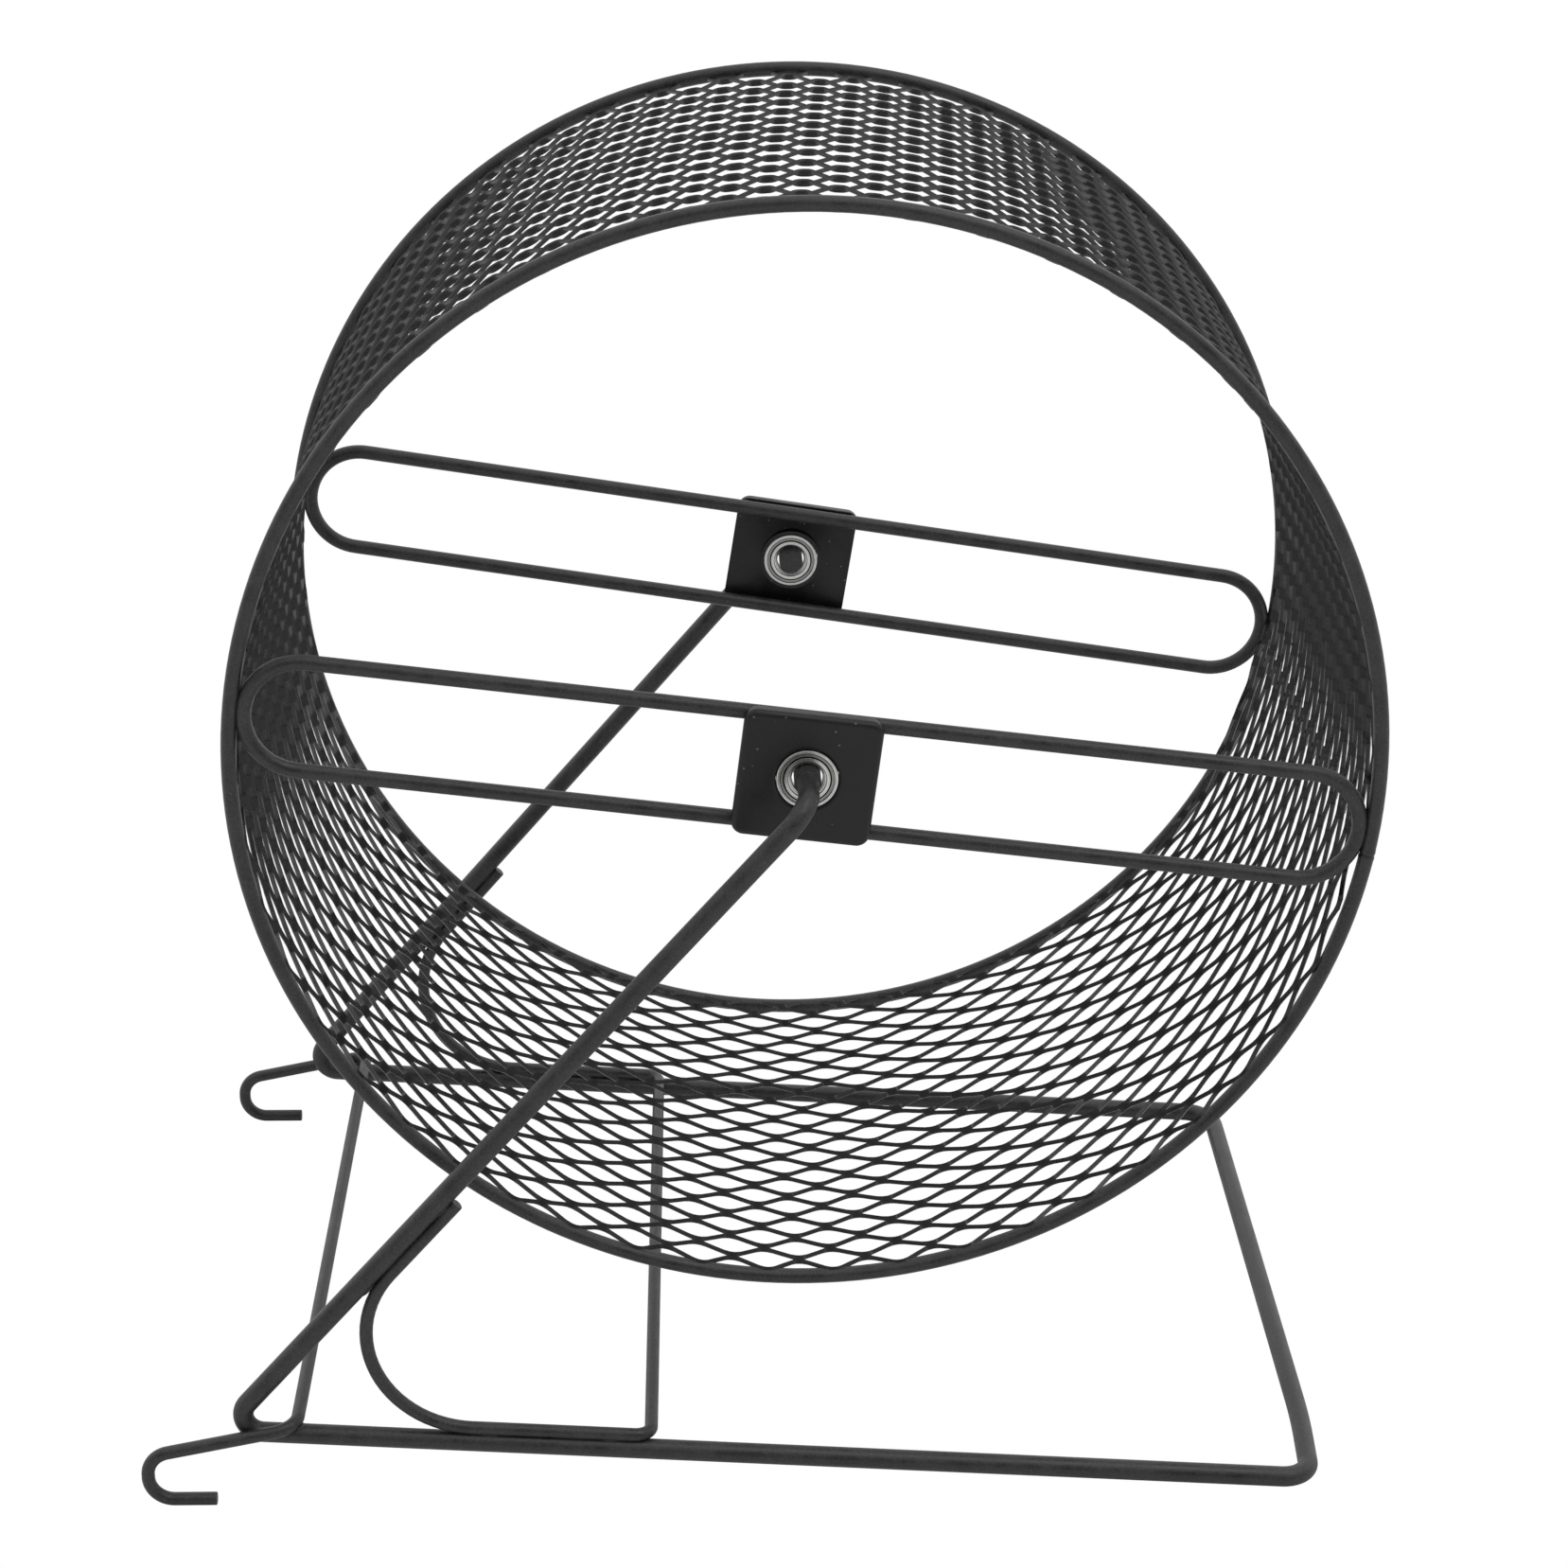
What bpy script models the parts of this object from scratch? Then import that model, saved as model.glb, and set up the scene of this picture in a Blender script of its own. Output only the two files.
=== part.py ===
"""Running wheel for a hamster: an expanded-metal drum on two ball bearings in a bent-wire stand.

Metres, +Z up. The floor is z = 0, the axle runs along Y, and the hooks point to -X.
The stand rests on its two cage hooks and on the cross rail at the other end, so its rails rise
gently towards the hooks. Places along X are measured from the axle.
"""
import math

import bmesh
import bpy
from mathutils import Matrix, Vector

# Fits
TOUCH_GAP = 0.0003            # left between pieces that touch, are pressed in or are welded
RUNNING_GAP = 0.00012         # ball to groove, and ball to cage pocket

# Wheel rings
WHEEL_DIAMETER = 0.300        # over the outside of the rings
RING_SPACING = 0.170          # centre to centre of the two rings, along the axle
WHEEL_WIRE = 0.0041           # wire of rings and crossbars, powder coat included

# Running mesh: expanded metal, drawn here with larger diamonds than the real strip
MESH_OVERLAP = 0.0015         # mesh edge past the middle of each ring
MESH_THICKNESS = 0.0009
MESH_STRAND = 0.0022          # width of one strand
MESH_BOND = 0.0048            # length of the solid bond between two diamonds of one row
MESH_BORDER = 0.0050          # closed margin along each edge
CELLS_AROUND = 24
CELL_ROWS = 12

# Crossbars: one closed loop of wire across each ring
BAR_SPACING = 0.0296          # centre to centre of the loop's two long wires
FRONT_BAR_TILT = math.radians(6.9)
BACK_BAR_TILT = math.radians(8.7)

# Hub plates
PLATE_WIDTH = 0.0360          # along the crossbar
PLATE_HEIGHT = 0.0346         # across the crossbar
PLATE_SHEET = 0.0015
PLATE_CORNER = 0.0030
PLATE_EDGE_ROUND = 0.0012
PLATE_FLANGE = 0.0032         # depth of the two folded lips, sheet included
COLLAR_WALL = 0.0009          # drawn collar round the bearing
BEARING_PROUD = 0.0006        # bearing past the end of the collar

# Ball bearings
BEARING_BORE = 0.0080
BEARING_OUTSIDE = 0.0160
BEARING_WIDTH = 0.0050
BALL_DIAMETER = 0.0020
BALL_COUNT = 9
INNER_SHOULDER = 0.0106       # outside diameter of the inner race
OUTER_SHOULDER = 0.0134       # inside diameter of the outer race beside its groove
SHIELD_SEAT = 0.0143          # diameter of the step that holds a shield
SHIELD_INSIDE = 0.0112
SHIELD_SHEET = 0.0003
SHIELD_INSET = 0.0002         # shield face below the bearing's side face
RACE_CHAMFER = 0.0003
CAGE_WALL = 0.0008            # radial thickness of the cage
CAGE_BACK = 0.0006            # solid back of the cage behind the ball pockets
CAGE_PRONG = 0.0004           # how far the prongs pass the middle of the balls

# Stand wire
STAND_WIRE = 0.0055
HUB_HEIGHT = 0.2015           # wheel axis above the floor
STAND_SPAN = 0.216            # between the two rails, centre to centre
STRUT_SPLAY = 0.0040          # how far each strut leans out at the top
FOOT_REACH = 0.1394           # axle to the cross rail
HEEL_REACH = 0.1566           # axle to the corner between rail and strut
HEEL_HEIGHT = 0.0205          # rail centre above the floor at that corner
AXLE_END_OUT = 0.0030         # axle end past the bearing's inner face
AXLE_BEND = 0.0080
HEEL_BEND = 0.0055
FOOT_BEND = 0.0090

# Hook wire
THIN_WIRE = 0.0036
HOOK_CROSS_REACH = 0.1363     # axle to the wire that lies across both rails
HOOK_REACH = 0.1785           # axle to the outside of the curl
HOOK_ARM_DROP = 0.0085        # fall of the arm from the rail to the curl
HOOK_LEG_END_REACH = 0.1584   # axle to the cut end of the lower leg
HOOK_CURL_RADIUS = 0.0068
HOOK_SIDE_BEND = 0.0060

# Brace wire
BRACE_CROSS_REACH = 0.0416    # axle to the wire that lies across both rails
BRACE_ALONG_STRUT = 0.0950    # heel corner to the brace's cut end, along the strut
BRACE_BEND = 0.0290
BRACE_SIDE_BEND = 0.0045

# Roundness of the faceted shapes
ARC_STEP = math.radians(15)
RING_STEPS = 60
STAND_SIDES = 12
THIN_SIDES = 8
RACE_STEPS = 24
CORNER_STEPS = 4

FRONT = -1
BACK = 1
SIDE_NAMES = {FRONT: "front", BACK: "back"}

# Places that follow from the sizes
ring_radius = (WHEEL_DIAMETER - WHEEL_WIRE) / 2
wire_radius = WHEEL_WIRE / 2
stand_radius = STAND_WIRE / 2
thin_radius = THIN_WIRE / 2
ball_pitch_radius = (BEARING_BORE + BEARING_OUTSIDE) / 4
groove_radius = BALL_DIAMETER / 2 + RUNNING_GAP
plate_face = RING_SPACING / 2 + wire_radius + TOUCH_GAP + PLATE_FLANGE
bearing_middle = plate_face - BEARING_WIDTH / 2
mesh_outside = (ring_radius - wire_radius) * math.cos(math.pi / RING_STEPS) - TOUCH_GAP
mesh_inside = mesh_outside - MESH_THICKNESS
mesh_width = RING_SPACING + 2 * MESH_OVERLAP
bar_reach = mesh_inside * math.cos(math.pi / (2 * CELLS_AROUND)) - TOUCH_GAP
axle_rise = BEARING_BORE / 2 * math.cos(math.pi / RACE_STEPS) - stand_radius - TOUCH_GAP
axle_x = (HOOK_REACH - WHEEL_DIAMETER / 2) / 2
hub = Vector((axle_x, 0, HUB_HEIGHT))
stack = stand_radius + thin_radius + TOUCH_GAP
foot_flat = stand_radius * math.cos(math.pi / STAND_SIDES)
hook_flat = thin_radius * math.cos(math.pi / THIN_SIDES)
rail_slope = (HEEL_HEIGHT - foot_flat) / (HEEL_REACH + FOOT_REACH)


def clear_scene():
    for item in list(bpy.data.objects):
        bpy.data.objects.remove(item, do_unlink=True)


def make_material(name, colour, roughness, metallic):
    material = bpy.data.materials.new(name)
    material.use_nodes = True
    shader = material.node_tree.nodes["Principled BSDF"]
    shader.inputs["Base Color"].default_value = (*colour, 1)
    shader.inputs["Roughness"].default_value = roughness
    shader.inputs["Metallic"].default_value = metallic
    return material


def add_object(name, bm, material, parent=None, smooth=True):
    """Turn a bmesh into a named object, shaded round where its faces meet at a flat angle."""
    bmesh.ops.recalc_face_normals(bm, faces=bm.faces)
    mesh = bpy.data.meshes.new(name)
    bm.to_mesh(mesh)
    bm.free()
    if smooth:
        mesh.shade_smooth()
        mesh.set_sharp_from_angle(angle=math.radians(50))
    if material:
        mesh.materials.append(material)
    item = bpy.data.objects.new(name, mesh)
    item.parent = parent
    bpy.context.scene.collection.objects.link(item)
    return item


def add_axis(name, place, parent=None):
    """Empty on a joint axis, for the pieces that turn about it."""
    axis = bpy.data.objects.new(name, None)
    axis.location = place
    axis.parent = parent
    bpy.context.scene.collection.objects.link(axis)
    return axis


def make_cutter(name, bm, parent):
    cutter = add_object(name, bm, None, parent, smooth=False)
    cutter.hide_render = True
    cutter.display_type = "WIRE"
    return cutter


def combine(item, tool, operation):
    change = item.modifiers.new(tool.name, "BOOLEAN")
    change.operation = operation
    change.solver = "EXACT"
    change.object = tool


# Bent wire

def bent_path(corners, bends):
    """Points and directions along a wire whose inner corners are rounded to the given radii."""
    first = (corners[1] - corners[0]).normalized()
    path = [(corners[0], first)]
    for before, corner, after, bend in zip(corners, corners[1:], corners[2:], bends):
        back = (before - corner).normalized()
        ahead = (after - corner).normalized()
        inside = back.angle(ahead)
        turn = math.pi - inside
        centre = corner + (back + ahead).normalized() * bend / math.sin(inside / 2)
        spoke = corner + back * bend / math.tan(inside / 2) - centre
        axis = ahead.cross(back)
        steps = math.ceil(turn / ARC_STEP)
        for step in range(steps + 1):
            rotation = Matrix.Rotation(turn * step / steps, 3, axis)
            path.append((centre + rotation @ spoke, rotation @ -back))
    last = (corners[-1] - corners[-2]).normalized()
    path.append((corners[-1], last))
    return path


def carried_normals(path, level_at):
    """A normal for each point, level at one point and carried along the wire without twist."""
    directions = [direction for _, direction in path]
    upright = Vector((0, 0, 1))
    start = directions[level_at]
    normals = {level_at: (upright - start * upright.dot(start)).normalized()}
    for way in (1, -1):
        here = level_at
        while 0 <= here + way < len(path):
            turn = directions[here].rotation_difference(directions[here + way])
            normals[here + way] = turn @ normals[here]
            here += way
    return [normals[index] for index in range(len(path))]


def wire_mesh(path, radius, sides, level_at=0, closed=False):
    """Round wire along a path, with a flat facet facing down where the path is level."""
    bm = bmesh.new()
    rings = []
    for (point, direction), normal in zip(path, carried_normals(path, level_at)):
        across = direction.cross(normal)
        ring = []
        for side in range(sides):
            angle = 2 * math.pi * (side + 0.5) / sides
            ring.append(bm.verts.new(point + (normal * math.cos(angle) + across * math.sin(angle)) * radius))
        rings.append(ring)
    pairs = list(zip(rings, rings[1:]))
    if closed:
        pairs.append((rings[-1], rings[0]))
    else:
        bm.faces.new(rings[0])
        bm.faces.new(rings[-1])
    for ring, following in pairs:
        for side in range(sides):
            beside = (side + 1) % sides
            bm.faces.new((ring[side], ring[beside], following[beside], following[side]))
    return bm


# Turned rings

def turned_mesh(outline, steps):
    """Ring turned about the Y axis from a closed outline of (radius, place along the axis)."""
    bm = bmesh.new()
    verts = [bm.verts.new((radius, along, 0)) for radius, along in outline]
    edges = [bm.edges.new(pair) for pair in zip(verts, verts[1:] + verts[:1])]
    bmesh.ops.spin(bm, geom=verts + edges, cent=(0, 0, 0), axis=(0, 1, 0), angle=2 * math.pi,
                   steps=steps, use_merge=True)
    bmesh.ops.remove_doubles(bm, verts=bm.verts, dist=RUNNING_GAP / 10)
    return bm


def make_ring(side, axis, material):
    outline = []
    for step in range(THIN_SIDES):
        angle = 2 * math.pi * step / THIN_SIDES
        outline.append((ring_radius + wire_radius * math.cos(angle), wire_radius * math.sin(angle)))
    ring = add_object(SIDE_NAMES[side] + "_ring", turned_mesh(outline, RING_STEPS), material, axis)
    ring.location.y = side * RING_SPACING / 2


# Running mesh

def make_running_mesh(axis, material):
    """Band of staggered diamonds between two closed margins, with an outer and an inner skin."""
    pitch = 2 * math.pi / CELLS_AROUND
    half_long = pitch / 2 - MESH_BOND / 2 / mesh_outside
    half_row = (mesh_width - 2 * MESH_BORDER) / (CELL_ROWS + 1)
    half_short = half_row - MESH_STRAND / 2
    edge = mesh_width / 2
    bm = bmesh.new()

    def skin_pair(angle, along):
        pair = []
        for radius in (mesh_outside, mesh_inside):
            pair.append(bm.verts.new((radius * math.cos(angle), along, radius * math.sin(angle))))
        return pair

    cells = {}
    margins = {}
    for row in range(CELL_ROWS):
        along = -edge + MESH_BORDER + half_row * (row + 1)
        for step in range(CELLS_AROUND):
            angle = pitch * (step + row % 2 / 2)
            cells[row, step] = {
                "left": skin_pair(angle - half_long, along),
                "right": skin_pair(angle + half_long, along),
                "low": skin_pair(angle, along - half_short),
                "high": skin_pair(angle, along + half_short),
            }
    for end in (-1, 1):
        for step in range(2 * CELLS_AROUND):
            margins[end, step] = skin_pair(pitch * step / 2, end * edge)

    def cover(*pairs):
        bm.faces.new([pair[0] for pair in pairs])
        bm.faces.new([pair[1] for pair in reversed(pairs)])

    def rim(first, second):
        bm.faces.new((first[0], second[0], second[1], first[1]))

    for row in range(CELL_ROWS):
        shift = row % 2
        for step in range(CELLS_AROUND):
            cell = cells[row, step]
            beside = cells[row, (step + 1) % CELLS_AROUND]
            above_right = cells.get((row + 1, (step + shift) % CELLS_AROUND))
            above_left = cells.get((row + 1, (step + shift - 1) % CELLS_AROUND))
            below_right = cells.get((row - 1, (step + shift) % CELLS_AROUND))
            place = 2 * step + shift
            for corner, following in (("left", "low"), ("low", "right"), ("right", "high"), ("high", "left")):
                rim(cell[corner], cell[following])
            bond_low = below_right["high"] if below_right else margins[-1, (place + 1) % (2 * CELLS_AROUND)]
            bond_high = above_right["low"] if above_right else margins[1, (place + 1) % (2 * CELLS_AROUND)]
            cover(cell["right"], bond_low, beside["left"], bond_high)
            if above_right:
                cover(cell["high"], cell["right"], above_right["low"], above_right["left"])
                cover(above_left["right"], above_left["low"], cell["left"], cell["high"])
            for end, last_row, corner in ((-1, 0, "low"), (1, CELL_ROWS - 1, "high")):
                if row != last_row:
                    continue
                before, here, after = (margins[end, (place + move) % (2 * CELLS_AROUND)] for move in (-1, 0, 1))
                cover(cell["left"], before, here, cell[corner])
                cover(cell[corner], here, after, cell["right"])
                rim(before, here)
                rim(here, after)
    add_object("running_mesh", bm, material, axis)


# Crossbars

def make_crossbar(side, tilt, axis, material):
    """Closed loop of wire, its round ends welded to the drum just inside the ring."""
    half = BAR_SPACING / 2
    turn_x = bar_reach - wire_radius - half
    path = []
    for end in (1, -1):
        steps = round(math.pi / ARC_STEP)
        for step in range(steps + 1):
            angle = math.pi * (step / steps - 0.5)
            outward = Vector((math.cos(angle), 0, math.sin(angle))) * end
            along = Vector((-math.sin(angle), 0, math.cos(angle))) * end
            path.append((Vector((end * turn_x, 0, 0)) + outward * half, along))
    loop = wire_mesh(path, wire_radius, THIN_SIDES, closed=True)
    bar = add_object(SIDE_NAMES[side] + "_crossbar", loop, material, axis)
    bar.location.y = side * RING_SPACING / 2
    bar.rotation_euler.y = tilt


# Hub plates

def rounded_outline(width, height, corner):
    points = []
    for turn, (right, up) in enumerate(((1, 1), (-1, 1), (-1, -1), (1, -1))):
        for step in range(CORNER_STEPS + 1):
            angle = math.pi / 2 * (turn + step / CORNER_STEPS)
            points.append((right * (width / 2 - corner) + corner * math.cos(angle),
                           up * (height / 2 - corner) + corner * math.sin(angle)))
    return points


def make_hub_plate(side, tilt, axis, material):
    """Pressed plate with two folded lips on the crossbar wires and a drawn collar for the bearing."""
    name = SIDE_NAMES[side] + "_hub_plate"
    mount = add_axis(name + "_place", (0, side * plate_face, 0), axis)
    mount.rotation_euler.y = tilt
    bm = bmesh.new()
    outline = rounded_outline(PLATE_WIDTH, PLATE_HEIGHT, PLATE_CORNER)
    outer = [bm.verts.new((x, 0, z)) for x, z in outline]
    inner = [bm.verts.new((x, -side * PLATE_FLANGE, z)) for x, z in outline]
    face = bm.faces.new(outer)
    bm.faces.new(inner)
    for corner in range(len(outline)):
        bm.faces.new((outer[corner - 1], outer[corner], inner[corner], inner[corner - 1]))
    bmesh.ops.bevel(bm, geom=list(face.edges), offset=PLATE_EDGE_ROUND, segments=2, affect="EDGES", profile=0.5)
    plate = add_object(name, bm, material, mount)

    overrun = PLATE_SHEET
    hollow_depth = PLATE_FLANGE - PLATE_SHEET + overrun
    bm = bmesh.new()
    bmesh.ops.create_cube(bm, size=1)
    size = (PLATE_WIDTH + 2 * overrun, hollow_depth, PLATE_HEIGHT - 2 * PLATE_SHEET)
    bmesh.ops.scale(bm, vec=size, verts=bm.verts)
    hollow_middle = -side * (PLATE_SHEET + hollow_depth / 2)
    bmesh.ops.translate(bm, vec=(0, hollow_middle, 0), verts=bm.verts)
    combine(plate, make_cutter(name + "_hollow", bm, mount), "DIFFERENCE")

    seat_radius = BEARING_OUTSIDE / 2 + TOUCH_GAP
    collar_start = PLATE_SHEET / 2
    collar_end = BEARING_WIDTH - BEARING_PROUD
    collar = round_bar(seat_radius + COLLAR_WALL, collar_end - collar_start)
    bmesh.ops.translate(collar, vec=(0, -side * (collar_start + collar_end) / 2, 0), verts=collar.verts)
    combine(plate, make_cutter(name + "_collar", collar, mount), "UNION")
    seat = round_bar(seat_radius, BEARING_WIDTH + 2 * overrun)
    bmesh.ops.translate(seat, vec=(0, -side * BEARING_WIDTH / 2, 0), verts=seat.verts)
    combine(plate, make_cutter(name + "_seat", seat, mount), "DIFFERENCE")


def round_bar(radius, length):
    """Solid cylinder along Y."""
    bm = bmesh.new()
    bmesh.ops.create_cone(bm, cap_ends=True, segments=RACE_STEPS, radius1=radius, radius2=radius, depth=length)
    bmesh.ops.rotate(bm, matrix=Matrix.Rotation(math.pi / 2, 3, "X"), verts=bm.verts)
    return bm


# Ball bearings

def groove(centre_side, shoulder_radius):
    """Arc of a ball groove, from one edge to the other, on the inner (-1) or outer (1) race."""
    rise = abs(shoulder_radius - ball_pitch_radius)
    reach = math.acos(rise / groove_radius)
    points = []
    for step in range(CORNER_STEPS + 1):
        angle = reach * (2 * step / CORNER_STEPS - 1)
        radius = ball_pitch_radius + centre_side * groove_radius * math.cos(angle)
        points.append((radius, groove_radius * math.sin(angle)))
    return points


def outer_race_outline():
    half = BEARING_WIDTH / 2
    outside = BEARING_OUTSIDE / 2
    step_at = half - SHIELD_INSET - SHIELD_SHEET - RUNNING_GAP
    seat = SHIELD_SEAT / 2
    shoulder = OUTER_SHOULDER / 2
    return ([(outside, -half + RACE_CHAMFER), (outside - RACE_CHAMFER, -half), (seat, -half),
             (seat, -step_at), (shoulder, -step_at)] + groove(1, shoulder)
            + [(shoulder, step_at), (seat, step_at), (seat, half), (outside - RACE_CHAMFER, half),
               (outside, half - RACE_CHAMFER)])


def inner_race_outline():
    half = BEARING_WIDTH / 2
    bore = BEARING_BORE / 2
    shoulder = INNER_SHOULDER / 2
    return ([(bore, -half + RACE_CHAMFER), (bore + RACE_CHAMFER, -half), (shoulder, -half)]
            + groove(-1, shoulder)
            + [(shoulder, half), (bore + RACE_CHAMFER, half), (bore, half - RACE_CHAMFER)])


def shield_outline():
    rim = SHIELD_SEAT / 2 * math.cos(math.pi / RACE_STEPS) - RUNNING_GAP
    half = SHIELD_SHEET / 2
    return [(SHIELD_INSIDE / 2, -half), (rim, -half), (rim, half), (SHIELD_INSIDE / 2, half)]


def cage_mesh(side):
    """Crown cage: a ring with one open pocket for each ball, its back towards the hub plate's face."""
    pocket = groove_radius
    back = side * (pocket + CAGE_BACK)
    tip = -side * CAGE_PRONG
    arc = math.pi / 2 / CORNER_STEPS
    pocket_edge = [(-pocket, tip)]
    for step in range(-CORNER_STEPS, CORNER_STEPS + 1):
        pocket_edge.append((pocket * math.sin(step * arc), side * pocket * math.cos(step * arc)))
    pocket_edge.append((pocket, tip))
    half_spacing = math.pi / BALL_COUNT
    columns = []
    for ball in range(BALL_COUNT):
        middle = 2 * half_spacing * ball
        columns.append((middle - half_spacing, tip))
        columns += [(middle + across / ball_pitch_radius, along) for across, along in pocket_edge]
    bm = bmesh.new()
    rows = []
    for angle, front in columns:
        row = []
        for radius, along in ((ball_pitch_radius - CAGE_WALL / 2, front), (ball_pitch_radius + CAGE_WALL / 2, front),
                              (ball_pitch_radius + CAGE_WALL / 2, back), (ball_pitch_radius - CAGE_WALL / 2, back)):
            row.append(bm.verts.new((radius * math.cos(angle), along, radius * math.sin(angle))))
        rows.append(row)
    for row, following in zip(rows, rows[1:] + rows[:1]):
        for corner in range(4):
            beside = (corner + 1) % 4
            bm.faces.new((row[corner], row[beside], following[beside], following[corner]))
    return bm


def make_bearing(side, wheel_axis, race_steel, cage_steel):
    """Shielded ball bearing: the outer race turns with the wheel, the inner race stays on the axle."""
    name = SIDE_NAMES[side]
    middle = side * bearing_middle
    outer = add_object(name + "_outer_race", turned_mesh(outer_race_outline(), RACE_STEPS), race_steel, wheel_axis)
    outer.location.y = middle
    shield_place = BEARING_WIDTH / 2 - SHIELD_INSET - SHIELD_SHEET / 2
    for label, way in (("outer", side), ("inner", -side)):
        shield = add_object(name + "_" + label + "_shield", turned_mesh(shield_outline(), RACE_STEPS),
                            cage_steel, wheel_axis)
        shield.location.y = middle + way * shield_place
    inner = add_object(name + "_inner_race", turned_mesh(inner_race_outline(), RACE_STEPS), race_steel)
    inner.location = hub + Vector((0, middle, 0))
    cage_axis = add_axis(name + "_cage_axis", hub + Vector((0, middle, 0)))
    add_object(name + "_ball_cage", cage_mesh(side), cage_steel, cage_axis)
    for number in range(BALL_COUNT):
        angle = 2 * math.pi * number / BALL_COUNT
        bm = bmesh.new()
        bmesh.ops.create_icosphere(bm, subdivisions=2, radius=BALL_DIAMETER / 2)
        ball = add_object(f"{name}_ball_{number + 1}", bm, race_steel, cage_axis)
        ball.location = Vector((math.cos(angle), 0, math.sin(angle))) * ball_pitch_radius


# Stand

def rail_height(x_from_axle):
    return foot_flat + rail_slope * (FOOT_REACH - x_from_axle)


def heel_point(side):
    return Vector((axle_x - HEEL_REACH, side * STAND_SPAN / 2, rail_height(-HEEL_REACH)))


def strut_top(side):
    return hub + Vector((0, side * (STAND_SPAN / 2 + STRUT_SPLAY), axle_rise))


def make_stand(material):
    """One wire: axle stub, strut, rail, cross rail, and the same again back to the other stub."""
    stub_end = bearing_middle - BEARING_WIDTH / 2 - AXLE_END_OUT
    front_run = [hub + Vector((0, FRONT * stub_end, axle_rise)), strut_top(FRONT), heel_point(FRONT),
                 Vector((axle_x + FOOT_REACH, FRONT * STAND_SPAN / 2, foot_flat))]
    back_run = [Vector((point.x, -point.y, point.z)) for point in reversed(front_run)]
    bends = (AXLE_BEND, HEEL_BEND, FOOT_BEND, FOOT_BEND, HEEL_BEND, AXLE_BEND)
    path = bent_path(front_run + back_run, bends)
    add_object("stand_frame", wire_mesh(path, stand_radius, STAND_SIDES, level_at=len(path) // 2), material)


def make_hook_wire(material):
    """Thin wire across both rails, its ends bent out and curled under to hook on a cage bar."""
    cross_x = axle_x - HOOK_CROSS_REACH
    curl_x = axle_x - HOOK_REACH + thin_radius
    cross_z = rail_height(-HOOK_CROSS_REACH) + stack
    arm_y = STAND_SPAN / 2 + stack
    front_run = [Vector((axle_x - HOOK_LEG_END_REACH, FRONT * arm_y, hook_flat)),
                 Vector((curl_x, FRONT * arm_y, hook_flat)),
                 Vector((curl_x, FRONT * arm_y, cross_z - HOOK_ARM_DROP)),
                 Vector((cross_x, FRONT * arm_y, cross_z))]
    back_run = [Vector((point.x, -point.y, point.z)) for point in reversed(front_run)]
    half_bends = (HOOK_CURL_RADIUS, HOOK_CURL_RADIUS, HOOK_SIDE_BEND)
    path = bent_path(front_run + back_run, half_bends + half_bends[::-1])
    add_object("hook_wire", wire_mesh(path, thin_radius, THIN_SIDES), material)


def make_brace_wire(material):
    """Thin wire under each strut that swings onto the rail, joined by a run across the rails."""
    heel = heel_point(FRONT)
    along_strut = (strut_top(FRONT) - heel).normalized()
    along_rail = Vector((1, 0, -rail_slope)).normalized()
    across_strut = Vector((along_strut.z, 0, -along_strut.x)).normalized()
    across_rail = Vector((-along_rail.z, 0, along_rail.x))
    strut_line = heel + across_strut * stack
    rail_line = heel + across_rail * stack
    offset = rail_line - strut_line
    bend_at = strut_line + along_strut * (offset.dot(across_rail) / along_strut.dot(across_rail))
    front_run = [strut_line + along_strut * BRACE_ALONG_STRUT, bend_at,
                 rail_line + along_rail * (HEEL_REACH - BRACE_CROSS_REACH) / along_rail.x]
    back_run = [Vector((point.x, -point.y, point.z)) for point in reversed(front_run)]
    path = bent_path(front_run + back_run, (BRACE_BEND, BRACE_SIDE_BEND, BRACE_SIDE_BEND, BRACE_BEND))
    add_object("brace_wire", wire_mesh(path, thin_radius, THIN_SIDES), material)


def build():
    clear_scene()
    black_coat = make_material("black_powder_coat", (0.035, 0.035, 0.037), 0.55, 0.3)
    plate_coat = make_material("black_coat_plate", (0.018, 0.018, 0.019), 0.42, 0.3)
    mesh_coat = make_material("black_coat_mesh", (0.030, 0.030, 0.031), 0.5, 0.3)
    race_steel = make_material("polished_bearing_steel", (0.62, 0.62, 0.60), 0.18, 1)
    shield_steel = make_material("shield_steel", (0.32, 0.32, 0.31), 0.35, 1)

    wheel_axis = add_axis("wheel_axis", hub)
    tilts = {FRONT: FRONT_BAR_TILT, BACK: BACK_BAR_TILT}
    for side in (FRONT, BACK):
        make_ring(side, wheel_axis, black_coat)
        make_crossbar(side, tilts[side], wheel_axis, black_coat)
        make_hub_plate(side, tilts[side], wheel_axis, plate_coat)
        make_bearing(side, wheel_axis, race_steel, shield_steel)
    make_running_mesh(wheel_axis, mesh_coat)
    make_stand(black_coat)
    make_hook_wire(black_coat)
    make_brace_wire(black_coat)


build()
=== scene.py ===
"""Dressed hamster wheel: an expanded-metal running drum on two ball bearings in a bent-wire stand.

Metres, +Z up, the axle along Y, front towards -Y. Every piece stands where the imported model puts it.
"""
import math

import bpy
from mathutils import Matrix, Vector, noise


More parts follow.
